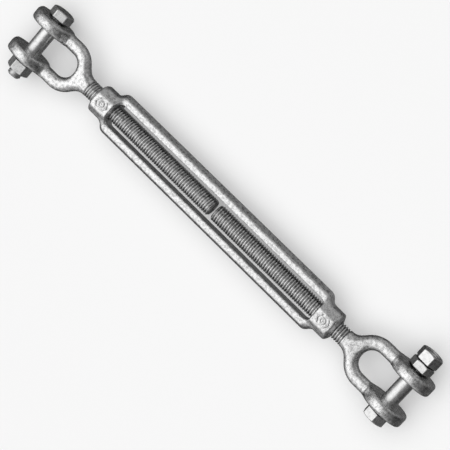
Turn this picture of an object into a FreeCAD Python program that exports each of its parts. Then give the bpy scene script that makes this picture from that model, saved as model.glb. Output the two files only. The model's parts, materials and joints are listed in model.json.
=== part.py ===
"""Forged jaw-and-jaw rigging turnbuckle, drawn closed.

+X runs along the screw axis from the left-hand-threaded jaw to the right-hand-threaded one, +Y along the
jaw bolts, +Z up out of the plane of the frame. The origin is the middle of the frame, on the screw axis.
"""
import FreeCAD, Part
import os

import Sketcher

SIZES = {
    # the screw: M10 x 1.5, right-hand on the +X side, left-hand on the -X side
    "rod_dia": 10.0,
    "rod_lead": 1.5,
    "rod_groove_depth": 0.9,
    "rod_groove_width": 1.25,
    "rod_end_gap": 2.4,
    "rod_end_chamfer": 1.3,
    "bore_play": 0.05,
    # the forged frame: two rails, a long window and an eight-sided boss at each end
    "window_len": 152.4,
    "window_width": 14.2,
    "window_corner": 3.2,
    "frame_width": 25.6,
    "rail_thick": 9.2,
    "rail_draft": 24.0,
    "boss_len": 13.4,
    "boss_width": 16.6,
    "boss_thick": 18.0,
    "boss_top_flat": 8.0,
    "boss_side_flat": 7.2,
    "boss_taper_len": 2.2,
    "boss_nose_dia": 11.6,
    "boss_root_dia": 20.0,
    "shoulder_start": 0.6,
    "shoulder_end": 4.0,
    # the jaws, each one forging with its threaded rod
    "neck_thread_len": 6.1,
    "thread_to_pin": 38.4,
    "crotch_to_pin": 26.2,
    "arm_dia": 7.9,
    "arm_gap": 14.1,
    "eye_dia": 25.2,
    "eye_gap": 13.6,
    "eye_over": 30.0,
    "eye_outer_round": 2.8,
    "eye_inner_round": 2.6,
    "arm_end_to_pin": 6.3,
    "web_half_width": 9.4,
    "web_half_height": 3.65,
    "web_inset": 4.4,
    "web_len": 6.4,
    # the jaw bolts and their nuts: M8 x 1.25 with 12 mm hexagons
    "pin_dia": 9.0,
    "pin_play": 0.08,
    "pin_len": 28.5,
    "bolt_len": 40.0,
    "bolt_thread_dia": 7.9,
    "hex_flats": 12.0,
    "head_height": 5.5,
    "nut_height": 6.5,
    "thin_nut_height": 5.0,
    "nut_bore_dia": 8.0,
    "hex_round_dia": 11.6,
    "hex_bevel": 30.0,
    # how far each hexagon is turned on its bolt, from one flat facing +Z towards +X
    "left_head_turn": 16.0,
    "left_nut_turn": 16.0,
    "right_head_turn": -21.0,
    "inner_nut_turn": 0.0,
    "outer_nut_turn": -10.0,
    # how far a cutting or joining shape runs past the face it meets, and the step that keeps two faces apart
    "overrun": 1.0,
    "face_step": 0.02,
}

FORMULAS = {
    "frame_end_x": "window_len / 2 + boss_len",
    "pin_x": "frame_end_x + neck_thread_len + thread_to_pin",
    "crotch_x": "pin_x - crotch_to_pin",
    "arm_y": "(arm_gap + arm_dia) / 2",
    "bend_x": "crotch_x + arm_gap / 2",
    "eye_thick": "(eye_over - eye_gap) / 2",
    "hex_corner_r": "hex_flats / 2 / cos(30)",
}

doc = FreeCAD.newDocument("turnbuckle")
sheet = doc.addObject("Spreadsheet::Sheet", "Sizes")


def fill_sheet():
    """Plain sizes first, then the ones worked out from them, each with its alias."""
    row = 1
    for alias, number in SIZES.items():
        sheet.set(f"A{row}", alias)
        sheet.set(f"B{row}", str(number))
        sheet.setAlias(f"B{row}", alias)
        row += 1
    for alias, formula in FORMULAS.items():
        sheet.set(f"A{row}", alias)
        sheet.set(f"B{row}", "=" + formula)
        sheet.setAlias(f"B{row}", alias)
        row += 1
    doc.recompute()


def value(formula):
    """A formula over the sheet's aliases, worked out as a number."""
    return float(sheet.evalExpression(formula))


def bound(formula):
    """The same formula as another object has to write it, with each alias named on the sheet."""
    words = []
    word = ""
    for letter in formula + " ":
        if letter.isalnum() or letter == "_":
            word += letter
            continue
        words.append(f"Sizes.{word}" if word in SIZES or word in FORMULAS else word)
        words.append(letter)
        word = ""
    return "".join(words).strip()


def origin_feature(body, role):
    return next(item for item in body.Origin.OriginFeatures if item.Role == role)


def sketch_on(body, role, name, offset="0"):
    """An empty sketch on one of the body's own origin planes, moved along its normal by a formula."""
    sketch = body.newObject("Sketcher::SketchObject", name)
    sketch.AttachmentSupport = [(origin_feature(body, role), "")]
    sketch.MapMode = "FlatFace"
    if offset != "0":
        sketch.setExpression("AttachmentOffset.Base.z", bound(offset))
    return sketch


def draw_polygon(sketch, corners):
    """A closed outline whose corners are pairs of formulas, each one tied to the sheet."""
    points = [FreeCAD.Vector(value(across), value(up), 0) for across, up in corners]
    count = len(points)
    for index in range(count):
        sketch.addGeometry(Part.LineSegment(points[index], points[(index + 1) % count]), False)
    for index in range(count):
        sketch.addConstraint(Sketcher.Constraint("Coincident", index, 2, (index + 1) % count, 1))
    for index, (across, up) in enumerate(corners):
        for kind, formula, number in (
            ("DistanceX", across, points[index].x),
            ("DistanceY", up, points[index].y),
        ):
            place = sketch.addConstraint(Sketcher.Constraint(kind, -1, 1, index, 1, number))
            sketch.setExpression(f"Constraints[{place}]", bound(formula))


def draw_circle(sketch, radius):
    circle = Part.Circle(FreeCAD.Vector(), FreeCAD.Vector(0, 0, 1), value(radius))
    sketch.addGeometry(circle, False)
    sketch.addConstraint(Sketcher.Constraint("Coincident", 0, 3, -1, 1))
    place = sketch.addConstraint(Sketcher.Constraint("Radius", 0, value(radius)))
    sketch.setExpression(f"Constraints[{place}]", bound(radius))


def pad(body, sketch, name, length, draft="0", down=False):
    feature = body.newObject("PartDesign::Pad", name)
    feature.Profile = sketch
    feature.setExpression("Length", bound(length))
    if draft != "0":
        feature.setExpression("TaperAngle", bound(draft))
    feature.Reversed = down
    doc.recompute()
    return feature


def must_cut(body, before, name):
    """A pocket or groove that removes nothing shows no error, so the volumes are compared."""
    if not body.Shape.Volume < before - 0.001:
        raise RuntimeError(f"{name} cut nothing")


def pocket_both_ways(body, sketch, name):
    before = body.Shape.Volume
    feature = body.newObject("PartDesign::Pocket", name)
    feature.Profile = sketch
    feature.Type = "ThroughAll"
    feature.Midplane = True
    doc.recompute()
    must_cut(body, before, name)
    return feature


def groove_round_x(body, sketch, name):
    before = body.Shape.Volume
    feature = body.newObject("PartDesign::Groove", name)
    feature.Profile = sketch
    feature.ReferenceAxis = (sketch, ["H_Axis"])
    feature.Angle = 360
    doc.recompute()
    must_cut(body, before, name)
    return feature


def mirror_over_yz(body, features, name):
    feature = body.newObject("PartDesign::Mirrored", name)
    feature.Originals = features
    feature.MirrorPlane = (origin_feature(body, "YZ_Plane"), [""])
    body.Tip = feature
    doc.recompute()
    return feature


def primitive(kind, name, sizes, place=("0", "0", "0"), turn=None):
    """A Part primitive whose sizes and place are formulas over the sheet."""
    item = doc.addObject(kind, name)
    item.Placement = FreeCAD.Placement(FreeCAD.Vector(), turn or FreeCAD.Rotation())
    for prop, formula in sizes.items():
        item.setExpression(prop, bound(formula))
    for axis, formula in zip("xyz", place):
        item.setExpression(f"Placement.Base.{axis}", bound(formula))
    return item


def fused(name, shapes):
    item = doc.addObject("Part::MultiFuse", name)
    item.Shapes = shapes
    return item


def cut(name, base, tool):
    item = doc.addObject("Part::Cut", name)
    item.Base = base
    item.Tool = tool
    return item


ALONG_X = FreeCAD.Rotation(FreeCAD.Vector(0, 1, 0), 90)
ALONG_Y = FreeCAD.Rotation(FreeCAD.Vector(1, 0, 0), -90)
AGAINST_Y = FreeCAD.Rotation(FreeCAD.Vector(1, 0, 0), 90)
# an ellipse turned so that its long axis lies along Y and its short one along Z
ACROSS_X = FreeCAD.Rotation(
    FreeCAD.Vector(0, 1, 0), FreeCAD.Vector(0, 0, 1), FreeCAD.Vector(1, 0, 0), "XYZ"
)


def make_frame():
    """One drop forging: drafted rails round the window, bossed at both ends and tapped through."""
    body = doc.addObject("PartDesign::Body", "frame_body")
    inner, outer = "window_len / 2 + shoulder_start", "window_len / 2 + shoulder_end"
    wide, narrow = "frame_width / 2", "boss_width / 2"
    half = [(f"-({outer})", narrow), (f"-({inner})", wide), (inner, wide), (outer, narrow)]
    outline = sketch_on(body, "XY_Plane", "rail_outline")
    draw_polygon(outline, half + [(across, f"-({up})") for across, up in reversed(half)])
    pad(body, outline, "rails_upper", "rail_thick / 2", draft="-rail_draft")
    pad(body, outline, "rails_lower", "rail_thick / 2", draft="-rail_draft", down=True)

    octagon = [
        ("boss_width / 2", "boss_side_flat / 2"),
        ("boss_top_flat / 2", "boss_thick / 2"),
        ("-boss_top_flat / 2", "boss_thick / 2"),
        ("-boss_width / 2", "boss_side_flat / 2"),
    ]
    octagon += [(f"-({across})", f"-({up})") for across, up in octagon]
    section = sketch_on(body, "YZ_Plane", "boss_section", offset="window_len / 2")
    draw_polygon(section, octagon)
    boss = pad(body, section, "boss", "boss_len")

    nose = sketch_on(body, "XZ_Plane", "boss_nose")
    beyond = "frame_end_x + overrun"
    draw_polygon(
        nose,
        [
            ("frame_end_x - boss_taper_len", "boss_root_dia / 2"),
            ("frame_end_x", "boss_nose_dia / 2"),
            (beyond, "boss_nose_dia / 2"),
            (beyond, "boss_root_dia / 2"),
        ],
    )
    taper = groove_round_x(body, nose, "boss_taper")
    mirror_over_yz(body, [boss, taper], "other_boss")

    window = sketch_on(body, "XY_Plane", "window_outline")
    half = [
        ("-window_len / 2", "window_width / 2 - window_corner"),
        ("-window_len / 2 + window_corner", "window_width / 2"),
        ("window_len / 2 - window_corner", "window_width / 2"),
        ("window_len / 2", "window_width / 2 - window_corner"),
    ]
    draw_polygon(window, half + [(across, f"-({up})") for across, up in reversed(half)])
    pocket_both_ways(body, window, "window")

    bore = sketch_on(body, "YZ_Plane", "bore_circle")
    draw_circle(bore, "rod_dia / 2 + bore_play")
    pocket_both_ways(body, bore, "screw_bores")
    return body


def make_rod():
    """The threaded rod of the +X jaw: a bar with one ring groove for each turn of its thread."""
    body = doc.addObject("PartDesign::Body", "rod_body")
    circle = sketch_on(body, "YZ_Plane", "rod_circle", offset="rod_end_gap / 2")
    draw_circle(circle, "rod_dia / 2")
    pad(body, circle, "rod_bar", "crotch_x - web_inset - rod_end_gap / 2")

    point = sketch_on(body, "XZ_Plane", "rod_point")
    draw_polygon(
        point,
        [
            ("rod_end_gap / 2 - overrun", "rod_dia / 2 - rod_end_chamfer"),
            ("rod_end_gap / 2", "rod_dia / 2 - rod_end_chamfer"),
            ("rod_end_gap / 2 + rod_end_chamfer", "rod_dia / 2"),
            ("rod_end_gap / 2 + rod_end_chamfer", "rod_dia / 2 + overrun"),
            ("rod_end_gap / 2 - overrun", "rod_dia / 2 + overrun"),
        ],
    )
    groove_round_x(body, point, "rod_chamfer")

    ring = sketch_on(body, "XZ_Plane", "ring_profile")
    first = "rod_end_gap / 2 + rod_end_chamfer + rod_lead"
    draw_polygon(
        ring,
        [
            (f"{first} - rod_groove_width / 2", "rod_dia / 2 + face_step"),
            (first, "rod_dia / 2 - rod_groove_depth"),
            (f"{first} + rod_groove_width / 2", "rod_dia / 2 + face_step"),
        ],
    )
    groove = groove_round_x(body, ring, "thread_groove")
    length = value(f"frame_end_x + neck_thread_len - ({first})")
    turns = int(length / value("rod_lead"))
    thread = body.newObject("PartDesign::LinearPattern", "thread")
    thread.Originals = [groove]
    thread.Direction = (origin_feature(body, "X_Axis"), [""])
    thread.Mode = "Extent"
    thread.setExpression("Length", f"Sizes.rod_lead * {turns}")
    thread.Occurrences = turns + 1
    body.Tip = thread
    doc.recompute()
    must_cut(body, groove.Shape.Volume, "thread")
    return body


def make_eye(name, side):
    """One eye of the fork, rounded all round its rim, with its pin hole; side is +1 or -1 along Y."""
    turn = ALONG_Y if side > 0 else AGAINST_Y
    disc = primitive(
        "Part::Cylinder",
        f"{name}_disc",
        {"Radius": "eye_dia / 2", "Height": "eye_thick"},
        place=("pin_x", f"{side} * eye_gap / 2", "0"),
        turn=turn,
    )
    doc.recompute()
    rounded = doc.addObject("Part::Fillet", f"{name}_rounded")
    rounded.Base = disc
    rounds = []
    for index, edge in enumerate(disc.Shape.Edges, start=1):
        if edge.Closed and edge.Curve.TypeId == "Part::GeomCircle":
            outer = abs(edge.CenterOfMass.y) > value("arm_y")
            radius = value("eye_outer_round" if outer else "eye_inner_round")
            rounds.append((index, radius, radius))
    rounded.Edges = rounds
    hole = primitive(
        "Part::Cylinder",
        f"{name}_hole",
        {"Radius": "pin_dia / 2 + pin_play", "Height": "eye_over"},
        place=("pin_x", "0", "0"),
        turn=turn,
    )
    return cut(name, rounded, hole)


def make_right_jaw(rod):
    """The fork: two round arms bent in a U from the web at the rod's root, and an eye on each arm."""
    bend = primitive(
        "Part::Torus",
        "fork_bend",
        {"Radius1": "arm_y", "Radius2": "arm_dia / 2"},
        place=("bend_x", "0", "0"),
        turn=FreeCAD.Rotation(FreeCAD.Vector(0, 0, 1), 90),
    )
    bend.Angle3 = 180
    arms = [
        primitive(
            "Part::Cylinder",
            f"fork_arm_{word}",
            {"Radius": "arm_dia / 2", "Height": "crotch_to_pin - arm_gap / 2 - arm_end_to_pin"},
            place=("bend_x", f"{side} * arm_y", "0"),
            turn=ALONG_X,
        )
        for word, side in (("front", -1), ("back", 1))
    ]
    eyes = [make_eye("eye_front", -1), make_eye("eye_back", 1)]
    web = doc.addObject("Part::Loft", "fork_web")
    web.Sections = [
        primitive(
            "Part::Ellipse",
            "web_wide_end",
            {"MajorRadius": "web_half_width", "MinorRadius": "web_half_height"},
            place=("crotch_x - web_inset", "0", "0"),
            turn=ACROSS_X,
        ),
        primitive(
            "Part::Ellipse",
            "web_narrow_end",
            {"MajorRadius": "rod_dia / 2 - face_step", "MinorRadius": "rod_dia / 2 - 3 * face_step"},
            place=("crotch_x - web_inset - web_len", "0", "0"),
            turn=ACROSS_X,
        ),
    ]
    web.Solid = True
    return fused("right_jaw_forging", [rod, bend, *arms, *eyes, web])


def make_left_jaw(right_jaw):
    """The same forging turned end for end; only the hand of its thread differs."""
    mirror = doc.addObject("Part::Mirroring", "left_jaw_forging")
    mirror.Source = right_jaw
    mirror.Base = FreeCAD.Vector()
    mirror.Normal = FreeCAD.Vector(1, 0, 0)
    return mirror


def make_hexagon(name, pin_x, seat, height, side, bevels, turned):
    """A bevelled hexagon on the bolt axis from its seat outwards; side is the way it grows along Y."""
    turn = ALONG_Y if side > 0 else AGAINST_Y
    on_axis = FreeCAD.Rotation(FreeCAD.Vector(0, 0, 1), side * value(turned))
    prism = primitive(
        "Part::Prism",
        f"{name}_hexagon",
        {"Circumradius": "hex_corner_r", "Height": height},
        place=(pin_x, seat, "0"),
        turn=turn.multiply(on_axis),
    )
    prism.Polygon = 6
    tight = "hex_round_dia / 2"
    wide = f"{tight} + ({height}) / tan(hex_bevel)"
    cones = [
        primitive(
            "Part::Cone",
            f"{name}_bevel_{end}",
            {
                "Radius1": tight if end == "near" else wide,
                "Radius2": wide if end == "near" else tight,
                "Height": height,
            },
            place=(pin_x, seat, "0"),
            turn=turn,
        )
        for end in bevels
    ]
    common = doc.addObject("Part::MultiCommon", f"{name}_blank")
    common.Shapes = [prism, *cones]
    return common


def make_bolt(name, pin_x, side, turned):
    """Head, plain pin through both eyes, and a thread for the nut; side is the way the head faces."""
    along, against = (ALONG_Y, AGAINST_Y) if side > 0 else (AGAINST_Y, ALONG_Y)
    seat = f"{side} * eye_over / 2"
    head = make_hexagon(f"{name}_head", pin_x, seat, "head_height", side, ["far"], turned)
    pin = primitive(
        "Part::Cylinder",
        f"{name}_pin",
        {"Radius": "pin_dia / 2", "Height": "pin_len + overrun"},
        place=(pin_x, f"{seat} + {side} * overrun", "0"),
        turn=against,
    )
    tail = primitive(
        "Part::Cylinder",
        f"{name}_tail",
        {"Radius": "bolt_thread_dia / 2", "Height": "bolt_len - pin_len + overrun"},
        place=(pin_x, f"{seat} - {side} * (pin_len - overrun)", "0"),
        turn=against,
    )
    return fused(f"{name}_solid", [head, pin, tail])


def make_nut(name, pin_x, seat, height, side, turned):
    blank = make_hexagon(name, pin_x, seat, height, side, ["near", "far"], turned)
    bore = primitive(
        "Part::Cylinder",
        f"{name}_bore",
        {"Radius": "nut_bore_dia / 2", "Height": f"{height} + 2 * overrun"},
        place=(pin_x, f"{seat} - {side} * overrun", "0"),
        turn=ALONG_Y if side > 0 else AGAINST_Y,
    )
    return cut(f"{name}_solid", blank, bore)


def write_parts(parts):
    """Every object has to be sound, and every sub-part one valid solid, before anything is written."""
    doc.recompute()
    for item in doc.Objects:
        if "Invalid" in item.State or "Error" in item.State:
            raise RuntimeError(f"{item.Name} failed: {item.State}")
    for label, item in parts.items():
        item.Label = label
        if item.Shape.isNull() or not item.Shape.isValid() or len(item.Shape.Solids) != 1:
            raise RuntimeError(f"{label} is not one valid solid")
    os.makedirs("parts", exist_ok=True)
    for item in parts.values():
        item.Shape.exportStep(f"parts/{item.Label}.step")
        box = item.Shape.BoundBox
        print(item.Label, len(item.Shape.Faces), "faces", round(item.Shape.Volume), "mm3", box)


fill_sheet()
right_jaw = make_right_jaw(make_rod())
write_parts(
    {
        "frame": make_frame(),
        "right_jaw": right_jaw,
        "left_jaw": make_left_jaw(right_jaw),
        "left_bolt": make_bolt("left_bolt", "-pin_x", 1, "left_head_turn"),
        "left_nut": make_nut(
            "left_nut", "-pin_x", "-eye_over / 2", "nut_height", -1, "left_nut_turn"
        ),
        "right_bolt": make_bolt("right_bolt", "pin_x", -1, "right_head_turn"),
        "right_inner_nut": make_nut(
            "right_inner_nut", "pin_x", "eye_over / 2", "thin_nut_height", 1, "inner_nut_turn"
        ),
        "right_outer_nut": make_nut(
            "right_outer_nut", "pin_x", "eye_over / 2 + thin_nut_height", "nut_height", 1, "outer_nut_turn"
        ),
    }
)
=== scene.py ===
"""Forged jaw-and-jaw turnbuckle, closed: fine meshes and zinc finishes round the CAD frame.

Shapes are worked out in millimetres, in the frame's own axes, and turned into metres as meshes are made.
"""
import json
import math

import bpy
import numpy as np
from mathutils import Matrix, Vector


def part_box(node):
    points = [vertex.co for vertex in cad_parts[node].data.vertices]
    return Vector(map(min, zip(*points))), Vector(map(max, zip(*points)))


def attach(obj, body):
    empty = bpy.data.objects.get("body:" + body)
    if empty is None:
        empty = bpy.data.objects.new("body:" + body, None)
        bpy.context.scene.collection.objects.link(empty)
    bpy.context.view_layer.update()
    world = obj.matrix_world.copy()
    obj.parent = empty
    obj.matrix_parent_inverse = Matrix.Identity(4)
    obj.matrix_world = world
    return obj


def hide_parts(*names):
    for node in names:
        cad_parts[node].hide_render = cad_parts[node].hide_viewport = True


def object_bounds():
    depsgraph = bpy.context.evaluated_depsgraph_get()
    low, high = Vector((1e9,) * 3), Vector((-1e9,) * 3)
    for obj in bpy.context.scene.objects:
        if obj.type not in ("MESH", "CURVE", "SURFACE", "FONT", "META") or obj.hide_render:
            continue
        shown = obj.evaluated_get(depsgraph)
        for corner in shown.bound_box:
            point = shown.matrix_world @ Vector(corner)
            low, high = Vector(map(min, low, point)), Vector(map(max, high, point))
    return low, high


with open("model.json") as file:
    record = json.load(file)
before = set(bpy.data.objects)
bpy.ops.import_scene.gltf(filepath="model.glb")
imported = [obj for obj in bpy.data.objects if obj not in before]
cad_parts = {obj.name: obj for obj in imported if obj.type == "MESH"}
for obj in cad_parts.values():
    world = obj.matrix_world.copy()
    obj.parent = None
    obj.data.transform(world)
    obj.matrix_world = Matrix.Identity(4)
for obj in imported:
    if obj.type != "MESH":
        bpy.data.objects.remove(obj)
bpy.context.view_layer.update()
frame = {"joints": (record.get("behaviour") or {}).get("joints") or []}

MM = 0.001
TINY = 1e-9


# ---------------------------------------------------------------- sizes in mm, partly from the frame
def box_mm(node):
    low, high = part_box(node)
    return np.array(low) / MM, np.array(high) / MM


def joint(name):
    return next(j for j in frame["joints"] if j["name"] == name)


FRAME_END, FRAME_SIDE, BOSS_TOP = box_mm("frame")[1]
JAW_LOW, JAW_HIGH = box_mm("right_jaw")
BOLT_LOW, BOLT_HIGH = box_mm("right_bolt")
LEFT_BOLT_LOW, LEFT_BOLT_HIGH = box_mm("left_bolt")
PIN_X = joint("right_bolt_turn")["pos_m"][0] / MM

# the forged frame: rails, window and bosses
# here and below, a _ROUND is how far an edge is rounded, a _FILLET how far two shapes blend, and an
# _OVERLAP how far a shape runs on inside its neighbour
BOSS_LEN = 13.4
BOSS_SIDE = 8.3
BOSS_TOP_FLAT = 4.0
BOSS_SIDE_FLAT = 3.6
BOSS_OVERLAP = 0.2
NOSE_LEN = 2.2
NOSE_R = 5.8
NOSE_ROOT_R = 10.0
WINDOW_END = FRAME_END - BOSS_LEN
WINDOW_SIDE = 7.1
WINDOW_CORNER = 3.4
RAIL_TOP = 4.6
RAIL_FLAT_EDGE = 10.75
RAIL_OVERLAP = 6.0
SHOULDER_START = 0.6
SHOULDER_END = 4.0
RAIL_ROUND = 0.9
SHOULDER_ROUND = 1.8
RAIL_END_ROUND = 1.0
BOSS_TOP_ROUND = 1.0
BOSS_SLANT_ROUND = 0.9
NOSE_ROUND = 0.8
BOSS_FACE_ROUND = 0.5
BOSS_BACK_ROUND = 1.3
BOSS_FILLET = 2.2
WINDOW_ROUND = 0.9
BORE_ROUND = 0.3
BORE_PLAY = 0.05
BORE_MOUTH = 0.75

# the raised foundry mark on each boss
MARK_HEIGHT = 0.3
MARK_PLACE = 0.46
MARK_BOTTOM = 7.0
MARK_RING_R = 1.5
MARK_HALF_STROKE = 0.32
MARK_FILLET = 0.3
CHEVRON_OUT = 3.7
CHEVRON_HALF = 2.3
CHEVRON_SLOPE = 0.6

# the threaded rods
ROD_R = 5.0
ROD_LEAD = 1.5
ROD_DEPTH = 0.85
ROD_POINT = 0.8
ROD_START = JAW_LOW[0]
NECK_THREAD_LEN = 6.1
THREAD_END = FRAME_END + NECK_THREAD_LEN
ROD_OVERLAP = 1.2
SCREW_CORE = 0.5

# the forks; distances along the screw axis are measured back from the bolt
CROTCH_U = 26.2
ARM_Y = 11.0
ARM_R = 3.95
ARM_END_U = 6.0
RIDGE = 0.12
RIDGE_WIDTH = 0.5
NECK_R = 5.05
NECK_U = 29.0
NECK_ROUND = 2.0
NECK_END_ROUND = 0.5
NECK_FILLET = 4.6
WEB_Z = 3.8
WEB_FLAT_U = 26.0
WEB_RISE = 0.12
WEB_ROUND = 0.8
EYE_R = JAW_HIGH[2]
EYE_OUT = JAW_HIGH[1]
EYE_IN = 6.8
EYE_DRAFT = 0.09
EYE_ROUND = 2.4
EYE_FILLET = 1.3
SEAT_U = 13.0
SEAT_ROUND = 0.3
PIN_HOLE_R = 4.58
PIN_HOLE_ROUND = 0.5

# the bolts and nuts
PIN_R = 4.5
PIN_LEN = 28.5
PIN_ROUND = 0.5
PIN_OVERLAP = 1.0
TAIL_OVERLAP = 1.0
TAIL_R = 3.95
TAIL_LEAD = 1.25
TAIL_DEPTH = 0.62
TAIL_POINT = 1.0
NUT_THREAD_PLAY = 0.08
NUT_THREAD_DEPTH = 0.4
NUT_THREAD_ROUND = 0.2
NUT_MOUTH = 0.75
NUT_MOUTH_LEAN = 0.7071
HEX_HALF = 6.0
HEX_CORNER_R = HEX_HALF / math.cos(math.pi / 6)
HEX_ROUND = 0.25
HEX_BEVEL_SHARE = 0.965
HEX_BEVEL_R = HEX_HALF * HEX_BEVEL_SHARE
HEX_BEVEL_ROUND = 0.3
HEAD_H = 5.5
NUT_H = 6.5
THIN_NUT_H = 5.0
WASHER_FACE_H = 0.5
WASHER_FACE_R = 5.3
# how far each hexagon is turned on its bolt, in degrees, from one flat facing +Z towards +X
LEFT_HEAD_TURN = 16.0
LEFT_NUT_TURN = 16.0
RIGHT_HEAD_TURN = -21.0
INNER_NUT_TURN = 0.0
OUTER_NUT_TURN = -10.0

# lattice steps and the room left round each shape
FRAME_PITCH_ALONG = 0.3
FRAME_PITCH_ACROSS = 0.29
FRAME_PITCH_MIDDLE = 1.4
FRAME_FINE_INSIDE = 6.0
JAW_PITCH = 0.42
BOLT_PITCH = 0.3
NUT_PITCH = 0.26
FORK_MARGIN = 1.0
BIG_MARGIN = 0.6
SMALL_MARGIN = 0.5


# ---------------------------------------------------------------- fields and surfaces
def round_max(a, b, r):
    """Intersection of two solids with its edge rounded to about r."""
    h = np.maximum(r - np.abs(a - b), 0.0) / r
    return np.maximum(a, b) + h * h * r * 0.25


def round_min(a, b, r):
    """Union of two solids with a fillet of about r."""
    return -round_max(-a, -b, r)


def surface(field, xs, ys, zs):
    """The closed surface field = 0 as vertices and quads: one vertex in each lattice cell it crosses."""
    grid = field(*np.meshgrid(xs, ys, zs, indexing="ij"))
    solid = grid < 0
    nx, ny, nz = (n - 1 for n in grid.shape)
    corners = [(i, j, k) for i in (0, 1) for j in (0, 1) for k in (0, 1)]
    filled = sum(solid[i : nx + i, j : ny + j, k : nz + k].astype(np.int8) for i, j, k in corners)
    mixed = (filled > 0) & (filled < len(corners))
    number = np.full(mixed.shape, -1, dtype=np.int64)
    number[mixed] = np.arange(int(mixed.sum()))
    at = np.argwhere(mixed)
    # each vertex is the mean of the points where the surface crosses its cell's edges
    total = np.zeros((len(at), 3))
    hits = np.zeros(len(at))
    for a in corners:
        for b in corners:
            if sum(b) - sum(a) != 1 or any(q < p for p, q in zip(a, b)):
                continue
            fa = grid[tuple((at + a).T)]
            fb = grid[tuple((at + b).T)]
            crossed = (fa < 0) != (fb < 0)
            t = np.where(crossed, fa / np.where(crossed, fa - fb, 1.0), 0.0)[:, None]
            total += np.where(crossed[:, None], np.array(a) + t * (np.array(b) - np.array(a)), 0.0)
            hits += crossed
    share = total / hits[:, None]
    points = np.empty_like(share)
    for axis, line in enumerate((xs, ys, zs)):
        low = line[at[:, axis]]
        points[:, axis] = low + share[:, axis] * (line[at[:, axis] + 1] - low)
    # each lattice edge that the surface crosses gives one quad, through the four cells round it
    quads = []
    around = (
        ((0, 0, 0), (0, -1, 0), (0, -1, -1), (0, 0, -1)),
        ((0, 0, 0), (0, 0, -1), (-1, 0, -1), (-1, 0, 0)),
        ((0, 0, 0), (-1, 0, 0), (-1, -1, 0), (0, -1, 0)),
    )
    for axis in range(3):
        ahead = [slice(None)] * 3
        behind = [slice(None)] * 3
        ahead[axis], behind[axis] = slice(1, None), slice(None, -1)
        a, b = solid[tuple(behind)], solid[tuple(ahead)]
        for leaving, order in ((a & ~b, -1), (~a & b, 1)):
            edge = np.argwhere(leaving)
            ring = [number[tuple((edge + step).T)] for step in around[axis]]
            quads.append(np.stack(ring[::order], axis=1))
    return settle(field, points), np.concatenate(quads)


def settle(field, points, rounds=3, eps=0.02, least_slope=0.05, longest_step=0.2):
    """Moves points onto the field's zero surface by Newton steps."""
    for _ in range(rounds):
        x, y, z = points.T
        f = field(x, y, z)
        slope = np.stack(
            [
                field(x + eps, y, z) - field(x - eps, y, z),
                field(x, y + eps, z) - field(x, y - eps, z),
                field(x, y, z + eps) - field(x, y, z - eps),
            ],
            axis=1,
        ) / (2 * eps)
        size = np.maximum((slope**2).sum(axis=1), least_slope)
        step = (f / size)[:, None] * slope
        length = np.linalg.norm(step, axis=1, keepdims=True)
        points = points - step * np.minimum(1.0, longest_step / np.maximum(length, TINY))
    return points


def steps(*spans):
    """One rising line of coordinates from spans of (start, end, step) that follow each other."""
    parts = []
    for start, end, step in spans:
        count = max(1, int(round((end - start) / step)))
        parts.append(np.linspace(start, end, count + 1)[:-1])
    return np.concatenate([*parts, [spans[-1][1]]])


def joined(*meshes):
    """Several (points, faces) meshes as one."""
    points, faces, start = [], [], 0
    for p, f in meshes:
        points.append(p)
        faces.append(f + start)
        start += len(p)
    return np.concatenate(points), np.concatenate(faces)


def mirrored(mesh):
    points, faces = mesh
    return points * np.array([-1.0, 1.0, 1.0]), faces[:, ::-1]


def add_piece(name, mesh, body, node, material):
    """The mesh as a smooth-shaded object that replaces a CAD node and rides on its body.

    Each row of faces is a quad, or a triangle if it names one corner twice.
    """
    points, faces = mesh
    data = bpy.data.meshes.new(name)
    data.from_pydata((points * MM).tolist(), [], [list(dict.fromkeys(f)) for f in faces.tolist()])
    data.validate()
    data.shade_smooth()
    data.materials.append(material)
    piece = bpy.data.objects.new(name, data)
    bpy.context.scene.collection.objects.link(piece)
    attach(piece, body)
    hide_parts(node)


# ---------------------------------------------------------------- threads
FLANK_START, FLANK_SPAN = 0.72, 0.64
FLANK_SOFT = 0.45


def thread_dip(phase):
    """How deep a thread's side is below its crest, 0 to 1, as phase goes round one lead."""
    from_root = np.abs((phase % 1.0) - 0.5) * 2
    sharp = np.clip((FLANK_START - from_root) / FLANK_SPAN, 0.0, 1.0)
    return sharp * sharp * (3 - 2 * sharp) * FLANK_SOFT + sharp * (1 - FLANK_SOFT)


def screw(start, end, radius, depth, lead, limit, around=48, per_lead=12):
    """A right-hand threaded bar along +X; limit(x) is the largest radius allowed at x, for its points."""
    rings = int(round((end - start) / lead * per_lead)) + 1
    x = np.linspace(start, end, rings)[:, None]
    turn = (np.arange(around) * 2 * math.pi / around)[None, :]
    r = radius - depth * thread_dip(x / lead - turn / (2 * math.pi))
    r = np.minimum(r, limit(x))
    points = np.stack([x + 0 * turn, r * np.cos(turn), r * np.sin(turn)], axis=2).reshape(-1, 3)
    i, j = np.meshgrid(np.arange(rings - 1), np.arange(around), indexing="ij")
    k = (j + 1) % around
    here, there = i * around, (i + 1) * around
    sides = np.stack([there + k, here + k, here + j, there + j], axis=2).reshape(-1, 4)
    # a fan of triangles closes each end
    caps = np.array([[start, 0, 0], [end, 0, 0]])
    first, last = len(points), len(points) + 1
    j = np.arange(around)
    k = (j + 1) % around
    base = (rings - 1) * around
    low = np.stack([np.full(around, first), k, j, j], axis=1)
    high = np.stack([np.full(around, last), base + j, base + k, base + k], axis=1)
    return np.concatenate([points, caps]), np.concatenate([sides, low, high])


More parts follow.
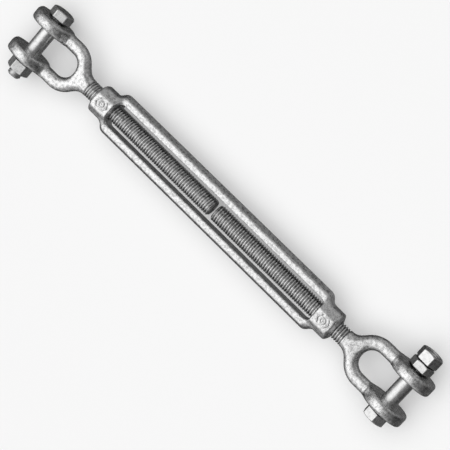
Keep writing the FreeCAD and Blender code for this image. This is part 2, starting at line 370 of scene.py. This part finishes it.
# ---------------------------------------------------------------- the forged frame
def mark_depth(across, along):
    """Plan distance, in mm, to a foundry mark: a ring round a dot, with a chevron on each side."""
    out = np.hypot(across, along)
    chevron = np.abs(np.abs(across) - CHEVRON_OUT + CHEVRON_SLOPE * np.abs(along))
    chevron = np.maximum(chevron / math.hypot(1, CHEVRON_SLOPE), np.abs(along) - CHEVRON_HALF)
    return np.minimum.reduce([np.abs(out - MARK_RING_R), out, chevron]) - MARK_HALF_STROKE


def frame_field(x, y, z):
    ax, ay, az = np.abs(x), np.abs(y), np.abs(z)
    # rails: flat fronts and drafted outer sides that meet at the parting line
    draft = (FRAME_SIDE - RAIL_FLAT_EDGE) / RAIL_TOP
    lean = math.hypot(1.0, draft)
    side = (ay - FRAME_SIDE + az * draft) / lean
    rails = round_max(side, az - RAIL_TOP, RAIL_ROUND)
    # their ends slope in to the bosses
    run, rise = SHOULDER_END - SHOULDER_START, FRAME_SIDE - BOSS_SIDE
    slant = math.hypot(run, rise)
    shoulder = (rise * (ax - WINDOW_END - SHOULDER_START) + run * (ay - FRAME_SIDE)) / slant
    rails = round_max(rails, (shoulder + az * draft) / lean, SHOULDER_ROUND)
    rails = round_max(rails, ax - (WINDOW_END + RAIL_OVERLAP), RAIL_END_ROUND)
    # eight-sided bosses with tapered noses
    slope = np.array([BOSS_TOP - BOSS_SIDE_FLAT, BOSS_SIDE - BOSS_TOP_FLAT])
    slope /= np.linalg.norm(slope)
    slanted = (ay - BOSS_SIDE) * slope[0] + (az - BOSS_SIDE_FLAT) * slope[1]
    flat = az - (BOSS_TOP - MARK_HEIGHT)
    boss = round_max(round_max(ay - BOSS_SIDE, flat, BOSS_TOP_ROUND), slanted, BOSS_SLANT_ROUND)
    nose = np.array([NOSE_ROOT_R - NOSE_R, NOSE_LEN])
    nose /= np.linalg.norm(nose)
    taper = (ax - FRAME_END) * nose[0] + (np.hypot(y, z) - NOSE_R) * nose[1]
    boss = round_max(boss, taper, NOSE_ROUND)
    boss = round_max(boss, ax - FRAME_END, BOSS_FACE_ROUND)
    boss = round_max(boss, (WINDOW_END - BOSS_OVERLAP) - ax, BOSS_BACK_ROUND)
    solid = round_min(rails, boss, BOSS_FILLET)
    # a raised mark on each boss
    middle = WINDOW_END + MARK_PLACE * BOSS_LEN
    mark = np.maximum(mark_depth(ax - middle, y * np.sign(x)), az - BOSS_TOP)
    solid = round_min(solid, np.maximum(mark, MARK_BOTTOM - az), MARK_FILLET)
    # the window, with rounded corners and softened edges
    past_end = ax - (WINDOW_END - WINDOW_CORNER)
    past_side = ay - (WINDOW_SIDE - WINDOW_CORNER)
    inner = np.minimum(np.maximum(past_end, past_side), 0.0)
    window = np.hypot(np.maximum(past_end, 0.0), np.maximum(past_side, 0.0)) + inner - WINDOW_CORNER
    solid = round_max(solid, -window, WINDOW_ROUND)
    # the screw bores, plain and countersunk at the mouth
    bore = np.hypot(y, z) - (ROD_R + BORE_PLAY)
    mouth = (np.hypot(y, z) - (ROD_R + BORE_MOUTH)) + np.abs(FRAME_END - ax)
    return np.maximum(round_max(solid, -bore, BORE_ROUND), -mouth)


def frame_mesh():
    """Fine at the bosses and coarse along the plain middle of the rails."""
    near = WINDOW_END - FRAME_FINE_INSIDE
    far = FRAME_END + BIG_MARGIN
    side, top = FRAME_SIDE + BIG_MARGIN, BOSS_TOP + BIG_MARGIN
    return surface(
        frame_field,
        steps(
            (-far, -near, FRAME_PITCH_ALONG),
            (-near, near, FRAME_PITCH_MIDDLE),
            (near, far, FRAME_PITCH_ALONG),
        ),
        steps((-side, side, FRAME_PITCH_ACROSS)),
        steps((-top, top, FRAME_PITCH_ACROSS)),
    )


# ---------------------------------------------------------------- the jaws
def fork_field(x, y, z):
    u = PIN_X - x
    ay = np.abs(y)
    bend_u = CROTCH_U - (ARM_Y - ARM_R)
    # a round bar along the U-shaped centre line, with a low ridge on its parting line
    tips = np.hypot(u - ARM_END_U, ay - ARM_Y)
    bent = np.abs(np.hypot(u - bend_u, y) - ARM_Y)
    plan = np.where(u < ARM_END_U, tips, np.where(u < bend_u, np.abs(ay - ARM_Y), bent))
    ridge = RIDGE * np.exp(-((z / RIDGE_WIDTH) ** 2))
    arms = np.hypot(plan, z) - (ARM_R - RIDGE) - ridge
    # the neck, and the short web it opens into
    neck = np.hypot(y, z) - NECK_R
    neck = round_max(neck, NECK_U - u, NECK_ROUND)
    neck = round_max(neck, u - (PIN_X - THREAD_END), NECK_END_ROUND)
    solid = round_min(arms, neck, NECK_FILLET)
    # the web between the arms is flattened towards the crotch
    web = np.abs(z) - WEB_Z - WEB_RISE * np.maximum(u - WEB_FLAT_U, 0.0)
    solid = round_max(solid, web, WEB_ROUND)
    # the eyes: blunt-rimmed discs whose faces are drafted away from the parting line
    rho = np.hypot(x - PIN_X, z)
    half = (EYE_OUT - EYE_IN) / 2
    local = np.abs(ay - (EYE_OUT + EYE_IN) / 2)
    face = (local + EYE_DRAFT * np.abs(z) - half) / math.hypot(1, EYE_DRAFT)
    eyes = round_max(rho - EYE_R, face, EYE_ROUND)
    solid = round_min(solid, eyes, EYE_FILLET)
    # keep the seats open
    solid = round_max(solid, ay - EYE_OUT, SEAT_ROUND)
    solid = np.where(u < SEAT_U, round_max(solid, EYE_IN - ay, SEAT_ROUND), solid)
    return round_max(solid, PIN_HOLE_R - rho, PIN_HOLE_ROUND)


def jaw_mesh():
    side, top = EYE_OUT + BIG_MARGIN, EYE_R + BIG_MARGIN
    fork = surface(
        fork_field,
        steps((THREAD_END - FORK_MARGIN, JAW_HIGH[0] + BIG_MARGIN, JAW_PITCH)),
        steps((-side, side, JAW_PITCH)),
        steps((-top, top, JAW_PITCH)),
    )
    rod = screw(
        ROD_START,
        THREAD_END + ROD_OVERLAP,
        ROD_R,
        ROD_DEPTH,
        ROD_LEAD,
        lambda x: np.maximum(ROD_R - ROD_POINT + (x - ROD_START), SCREW_CORE),
    )
    return joined(fork, rod)


# ---------------------------------------------------------------- bolts and nuts
def hexagon_field(x, z, along, height, turn, bevelled):
    """A hexagonal bar from along = 0 to height, turned about its axis by degrees, its ends bevelled.

    It stands on a low round washer face, so a thin dark gap shows below its corners.
    """
    c, s = math.cos(math.radians(turn)), math.sin(math.radians(turn))
    p, q = x * c - z * s, x * s + z * c
    k = math.cos(math.pi / 6)
    pairs = round_max(np.abs(p * k + q / 2), np.abs(p * k - q / 2), HEX_ROUND)
    flats = round_max(np.abs(q), pairs, HEX_ROUND)
    solid = round_max(flats - HEX_HALF, np.maximum(-along, along - height), HEX_ROUND)
    rho = np.hypot(x, z)
    # the bevels lean at 30 degrees
    tan_bevel = 0.5 / k
    for end in bevelled:
        depth = along if end == "near" else height - along
        bevel = (rho - HEX_BEVEL_R) * tan_bevel - depth
        solid = round_max(solid, bevel / math.hypot(tan_bevel, 1), HEX_BEVEL_ROUND)
    washer_face = np.maximum(np.maximum(rho - WASHER_FACE_R, -along), along - 2 * WASHER_FACE_H)
    return np.minimum(np.maximum(solid, WASHER_FACE_H - along), washer_face)


def hexagon_surface(field, pin_x, near, far, pitch):
    """The surface of a field round the bolt axis at pin_x, from near to far along Y."""
    reach = HEX_CORNER_R + SMALL_MARGIN
    low, high = sorted((near, far))
    return surface(
        field,
        steps((pin_x - reach, pin_x + reach, pitch)),
        steps((low, high, pitch)),
        steps((-reach, reach, pitch)),
    )


def along_y(mesh, pin_x, seat, side):
    """A mesh made with its axis along +X from zero, stood on the bolt axis from seat towards side."""
    points, faces = mesh
    x, y, z = points.T
    stood = np.stack([pin_x + y, seat + side * x, z], axis=1)
    return stood, faces if side < 0 else faces[:, ::-1]


def bolt_mesh(pin_x, side, low, high, turn):
    """Head and plain pin as one surface, and a threaded tail; side is the way the head faces."""
    seat = side * EYE_OUT
    tail_end = (low if side > 0 else high)[1]
    tail_len = abs(tail_end - seat) - PIN_LEN + TAIL_OVERLAP

    def field(x, y, z):
        along = (y - seat) * side
        head = hexagon_field(x - pin_x, z, along, HEAD_H, turn, ["far"])
        rho = np.hypot(x - pin_x, z)
        pin = round_max(rho - PIN_R, np.maximum(along - PIN_OVERLAP, -PIN_LEN - along), PIN_ROUND)
        return np.minimum(head, pin)

    near = seat + side * (HEAD_H + SMALL_MARGIN)
    body = hexagon_surface(field, pin_x, near, seat - side * (PIN_LEN + SMALL_MARGIN), BOLT_PITCH)
    tail = screw(
        0.0,
        tail_len,
        TAIL_R,
        TAIL_DEPTH,
        TAIL_LEAD,
        lambda x: np.maximum(TAIL_R - TAIL_POINT + (tail_len - x), SCREW_CORE),
        around=40,
    )
    return joined(body, along_y(tail, pin_x, seat - side * (PIN_LEN - TAIL_OVERLAP), -side))


def nut_mesh(pin_x, seat, side, height, turn):
    """A hexagon nut with a threaded, countersunk bore."""

    def field(x, y, z):
        along = (y - seat) * side
        blank = hexagon_field(x - pin_x, z, along, height, turn, ["near", "far"])
        rho = np.hypot(x - pin_x, z)
        phase = y / TAIL_LEAD + np.arctan2(z, x - pin_x) / (2 * math.pi)
        inside = (TAIL_R + NUT_THREAD_PLAY) + NUT_THREAD_DEPTH * np.abs((phase % 1.0) * 2 - 1) - rho
        near = (TAIL_R + NUT_MOUTH) - rho - along
        far = (TAIL_R + NUT_MOUTH) - rho - (height - along)
        # the countersinks lean at 45 degrees
        mouths = np.maximum(near, far) * NUT_MOUTH_LEAN
        return np.maximum(round_max(blank, inside, NUT_THREAD_ROUND), mouths)

    outer = seat + side * (height + SMALL_MARGIN)
    return hexagon_surface(field, pin_x, seat - side * SMALL_MARGIN, outer, NUT_PITCH)


# ---------------------------------------------------------------- finishes
CLOUD_SCALE, CLOUD_DETAIL, CLOUD_ROUGHNESS = 420.0, 4.0, 0.6
GRAIN_SCALE, GRAIN_DETAIL, GRAIN_ROUGHNESS = 1300.0, 3.0, 0.65
# how far the darkest and lightest stops stand from the middle one, and how light the middle one is
DARK_SPAN, LIGHT_SPAN, MIDDLE_SHARE = 0.2, 0.18, 0.65
# clouds between these two values turn into the smoothest and the roughest zinc
GLOSS_FROM, GLOSS_TO = 0.3, 0.7
SMOOTHER, ROUGHER = 0.06, 0.08
BUMP_HEIGHT = 0.0002
# painted shade in the screw grooves: the share of colour left at the root, and how far below the crest full
# colour returns
GROOVE_SHADE_LEVEL, CREST_DEPTH = 0.45, 0.1
# painted shade where a head or nut sits down: how much it darkens, and how far past the washer face it runs
SEAT_SHADE_DARKENING, SEAT_SHADE_OVERLAP = 0.85, 0.1


def add_node(tree, kind, sources=(), **values):
    """A shader node with its own settings; sources are what its inputs take, in order, links or numbers."""
    node = tree.nodes.new(kind)
    for key, setting in values.items():
        setattr(node, key, setting)
    for place, source in enumerate(sources):
        if isinstance(source, bpy.types.NodeSocket):
            tree.links.new(source, node.inputs[place])
        else:
            node.inputs[place].default_value = source
    return node


def maths(tree, operation, *sources):
    return add_node(tree, "ShaderNodeMath", sources, operation=operation).outputs[0]


def map_range(tree, source, low, high, to_low=0.0, to_high=1.0):
    return add_node(tree, "ShaderNodeMapRange", (source, low, high, to_low, to_high)).outputs["Result"]


def noise(tree, coordinates, scale, detail, roughness):
    node = add_node(tree, "ShaderNodeTexNoise")
    node.inputs["Scale"].default_value = scale
    node.inputs["Detail"].default_value = detail
    node.inputs["Roughness"].default_value = roughness
    tree.links.new(coordinates, node.inputs["Vector"])
    return node.outputs["Fac"]


def ramp(tree, source, stops):
    """A colour ramp through greys, given as (position, level) from left to right."""
    node = add_node(tree, "ShaderNodeValToRGB", (source,))
    elements = node.color_ramp.elements
    while len(elements) < len(stops):
        elements.new(0.5)
    for element, (position, level) in zip(elements, stops):
        element.position = position
        element.color = (level, level, level, 1.0)
    return node.outputs["Color"]


def scaled(tree, colour, factor):
    node = add_node(tree, "ShaderNodeVectorMath", (colour,), operation="SCALE")
    tree.links.new(factor, node.inputs["Scale"])
    return node.outputs[0]


def zinc(name, dark, light, rough, grain, bump, scale, thread_end=0.0, shaded_seats=()):
    """Zinc over steel: mottled grey, finely grained.

    Up to thread_end the screw's grooves are darkened with painted shade, and so is a narrow band at each seat
    where a head or nut sits down, at the given distances from the XZ plane.
    """
    material = bpy.data.materials.new(name)
    material.use_nodes = True
    tree = material.node_tree
    shader = tree.nodes["Principled BSDF"]
    place = add_node(tree, "ShaderNodeTexCoord").outputs["Object"]
    clouds = noise(tree, place, CLOUD_SCALE * scale, CLOUD_DETAIL, CLOUD_ROUGHNESS)
    grains = noise(tree, place, GRAIN_SCALE * scale, GRAIN_DETAIL, GRAIN_ROUGHNESS)
    mottle = maths(tree, "MULTIPLY_ADD", grains, grain, clouds)
    centre = 0.5 + grain / 2
    middle = (1 - MIDDLE_SHARE) * dark + MIDDLE_SHARE * light
    colour = ramp(tree, mottle, [(centre - DARK_SPAN, dark), (centre, middle), (centre + LIGHT_SPAN, light)])
    # painted shade in the screw grooves
    if thread_end:
        colour = paint_groove_shade(tree, place, colour, thread_end)
    # painted shade in a band at each seat
    for shade_at in shaded_seats:
        colour = paint_seat_shade(tree, place, colour, shade_at)
    tree.links.new(colour, shader.inputs["Base Color"])
    shader.inputs["Metallic"].default_value = 1.0
    gloss = map_range(tree, clouds, GLOSS_FROM, GLOSS_TO, rough - SMOOTHER, rough + ROUGHER)
    tree.links.new(gloss, shader.inputs["Roughness"])
    height = add_node(tree, "ShaderNodeBump")
    height.inputs["Strength"].default_value = bump
    height.inputs["Distance"].default_value = BUMP_HEIGHT
    tree.links.new(mottle, height.inputs["Height"])
    tree.links.new(height.outputs["Normal"], shader.inputs["Normal"])
    return material


def paint_groove_shade(tree, place, colour, thread_end):
    """Painted shade: darker towards the screw's root, from the middle of the object out to thread_end."""
    split = add_node(tree, "ShaderNodeSeparateXYZ", (place,))
    across = add_node(tree, "ShaderNodeCombineXYZ", (0.0, split.outputs["Y"], split.outputs["Z"]))
    radius = add_node(tree, "ShaderNodeVectorMath", (across.outputs[0],), operation="LENGTH").outputs["Value"]
    crest = map_range(tree, radius, (ROD_R - ROD_DEPTH) * MM, (ROD_R - CREST_DEPTH) * MM, GROOVE_SHADE_LEVEL)
    beyond = maths(tree, "GREATER_THAN", maths(tree, "ABSOLUTE", split.outputs["X"]), thread_end * MM)
    return scaled(tree, colour, maths(tree, "MAXIMUM", crest, beyond))


def paint_seat_shade(tree, place, colour, shade_at):
    """Painted shade: darker in a narrow band where a bolt head or nut sits down, at the given distance out
    along Y.
    """
    split = add_node(tree, "ShaderNodeSeparateXYZ", (place,))
    out = maths(tree, "ABSOLUTE", split.outputs["Y"])
    half = WASHER_FACE_H / 2
    band = maths(tree, "COMPARE", out, (shade_at + half) * MM, (half + SEAT_SHADE_OVERLAP) * MM)
    return scaled(tree, colour, maths(tree, "MULTIPLY_ADD", band, -SEAT_SHADE_DARKENING, 1.0))


# ---------------------------------------------------------------- studio
VIEW_TILT = math.radians(13.0)
VIEW_YAW = math.radians(12.0)
VIEW_ROLL = math.radians(44.4)
VIEW_DISTANCE = 0.9
VIEW_WIDTH = 0.236
AIM_RIGHT, AIM_UP = 0.0053, -0.0077
SENSOR_WIDTH = 36.0
CLIP_NEAR, CLIP_FAR = 0.01, 20.0

FLOOR_HALF = 3.0
FLOOR_GREY = 0.5
FLOOR_ROUGHNESS = 0.9
FLOOR_GLOW = 0.3

WASH_HEIGHT = 1.6
WASH_POWER = 68.0
WASH_SIZE = 3.6

# how bright the dome is at each cosine from its brightest direction
DOME_TOWARDS = (-0.42, -0.28, 0.86)
DOME_LEVELS = (
    (-1.0, 0.14),
    (-0.85, 0.1),
    (-0.6, 0.04),
    (-0.2, 0.05),
    (0.1, 0.12),
    (0.4, 0.15),
    (0.6, 0.22),
    (0.74, 0.48),
    (0.86, 0.96),
    (1.0, 1.22),
)
# the light from both Y sides, from its full level at SIDES_HIGH down to its least at SIDES_LOW
SIDES_LOW, SIDES_HIGH = -0.7, 0.1
SIDES_LEAST, SIDES_MOST = 0.05, 0.36
DIMMED_FOR_MATT = 0.85


def add_camera():
    """Above the object, leaning a little to +Y and +X, with the screw axis running down the diagonal."""
    towards = Vector((math.tan(VIEW_YAW), math.tan(VIEW_TILT), 1.0)).normalized()
    axis = Vector((1, 0, 0))
    along = (axis - axis.dot(towards) * towards).normalized()
    across = towards.cross(along)
    right = math.cos(VIEW_ROLL) * along + math.sin(VIEW_ROLL) * across
    up = math.cos(VIEW_ROLL) * across - math.sin(VIEW_ROLL) * along
    data = bpy.data.cameras.new("camera")
    camera = bpy.data.objects.new("camera", data)
    bpy.context.scene.collection.objects.link(camera)
    data.sensor_width = SENSOR_WIDTH
    data.lens = data.sensor_width * VIEW_DISTANCE / VIEW_WIDTH
    data.clip_start, data.clip_end = CLIP_NEAR, CLIP_FAR
    place = right * AIM_RIGHT + up * AIM_UP + towards * VIEW_DISTANCE
    camera.matrix_world = Matrix.Translation(place) @ Matrix((right, up, towards)).transposed().to_4x4()
    bpy.context.scene.camera = camera


def add_floor():
    """A wide pale sheet that the object lies on; the zinc doesn't mirror it."""
    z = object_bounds()[0].z
    data = bpy.data.meshes.new("floor")
    corners = [(x * FLOOR_HALF, y * FLOOR_HALF, z) for x, y in ((-1, -1), (1, -1), (1, 1), (-1, 1))]
    data.from_pydata(corners, [], [(0, 1, 2, 3)])
    floor = bpy.data.objects.new("floor", data)
    bpy.context.scene.collection.objects.link(floor)
    material = bpy.data.materials.new("floor_paper")
    material.use_nodes = True
    shader = material.node_tree.nodes["Principled BSDF"]
    shader.inputs["Base Color"].default_value = (FLOOR_GREY, FLOOR_GREY, FLOOR_GREY, 1.0)
    shader.inputs["Roughness"].default_value = FLOOR_ROUGHNESS
    shader.inputs["Emission Color"].default_value = (1.0, 1.0, 1.0, 1.0)
    shader.inputs["Emission Strength"].default_value = FLOOR_GLOW
    data.materials.append(material)
    floor.visible_glossy = False


def add_wash():
    """A wide light straight overhead that only matt surfaces such as the floor pick up."""
    data = bpy.data.lights.new("wash", "AREA")
    data.energy = WASH_POWER
    data.shape = "DISK"
    data.size = WASH_SIZE
    light = bpy.data.objects.new("wash", data)
    bpy.context.scene.collection.objects.link(light)
    light.location = (0.0, 0.0, WASH_HEIGHT)
    light.rotation_mode = "QUATERNION"
    light.rotation_quaternion = (-light.location).to_track_quat("-Z", "Y")
    light.visible_glossy = False


def add_world():
    """A dome brightest overhead, a little towards -X and -Y, with more light from both Y sides.

    Matt surfaces are lit by it far less than the zinc is.
    """
    world = bpy.data.worlds.new("studio")
    bpy.context.scene.world = world
    world.use_nodes = True
    tree = world.node_tree
    place = add_node(tree, "ShaderNodeTexCoord").outputs["Generated"]
    towards = Vector(DOME_TOWARDS).normalized()
    facing = add_node(tree, "ShaderNodeVectorMath", (place, towards), operation="DOT_PRODUCT")
    spread = map_range(tree, facing.outputs["Value"], -1.0, 1.0)
    dome = ramp(tree, spread, [((cosine + 1) / 2, level) for cosine, level in DOME_LEVELS])
    split = add_node(tree, "ShaderNodeSeparateXYZ", (place,)).outputs
    sides = maths(tree, "MULTIPLY", split["Y"], split["Y"])
    above = map_range(tree, split["Z"], SIDES_LOW, SIDES_HIGH, SIDES_LEAST, SIDES_MOST)
    total = add_node(tree, "ShaderNodeVectorMath", operation="MULTIPLY_ADD")
    for socket, source in zip(total.inputs, (sides, above, dome)):
        tree.links.new(source, socket)
    backdrop = tree.nodes["Background"]
    tree.links.new(total.outputs[0], backdrop.inputs["Color"])
    matt = add_node(tree, "ShaderNodeLightPath").outputs["Is Diffuse Ray"]
    strength = maths(tree, "MULTIPLY_ADD", matt, -DIMMED_FOR_MATT, 1.0)
    tree.links.new(strength, backdrop.inputs["Strength"])


# ---------------------------------------------------------------- the whole object
FORGED = {"dark": 0.42, "light": 0.97, "grain": 0.8, "scale": 1.5}
PLATED = {"dark": 0.6, "light": 0.9, "grain": 0.35, "scale": 1.4}
# where the outer nut sits; a band of painted shade is laid there too
OUTER_SEAT = EYE_OUT + THIN_NUT_H


def add_pieces():
    forged = zinc("galvanised_forging", rough=0.29, bump=0.55, **FORGED)
    jaws = zinc("galvanised_jaw", rough=0.25, bump=0.5, thread_end=THREAD_END, **FORGED)
    # the bolts and nuts get painted shade at their seats
    plated = zinc("plated_bolt", rough=0.26, bump=0.2, shaded_seats=(EYE_OUT,), **PLATED)
    nuts = zinc("plated_nut", rough=0.28, bump=0.25, shaded_seats=(EYE_OUT,), **PLATED)
    pair = zinc("plated_nut_pair", rough=0.28, bump=0.25, shaded_seats=(EYE_OUT, OUTER_SEAT), **PLATED)
    add_piece("frame_forging", frame_mesh(), "frame", "frame", forged)
    jaw = jaw_mesh()
    add_piece("right_jaw_forging", jaw, "right_jaw", "right_jaw", jaws)
    add_piece("left_jaw_forging", mirrored(jaw), "left_jaw", "left_jaw", jaws)
    left = bolt_mesh(-PIN_X, 1, LEFT_BOLT_LOW, LEFT_BOLT_HIGH, LEFT_HEAD_TURN)
    add_piece("left_bolt_forging", left, "left_bolt", "left_bolt", plated)
    right = bolt_mesh(PIN_X, -1, BOLT_LOW, BOLT_HIGH, RIGHT_HEAD_TURN)
    add_piece("right_bolt_forging", right, "right_bolt", "right_bolt", plated)
    for node, pin_x, seat, side, height, turn, finish in (
        ("left_nut", -PIN_X, -EYE_OUT, -1, NUT_H, LEFT_NUT_TURN, nuts),
        ("right_inner_nut", PIN_X, EYE_OUT, 1, THIN_NUT_H, INNER_NUT_TURN, pair),
        ("right_outer_nut", PIN_X, OUTER_SEAT, 1, NUT_H, OUTER_NUT_TURN, pair),
    ):
        mesh = nut_mesh(pin_x, seat, side, height, turn)
        add_piece(f"{node}_forging", mesh, node, node, finish)


add_pieces()
add_camera()
add_floor()
add_world()
add_wash()
bpy.context.scene.view_settings.view_transform = "Standard"
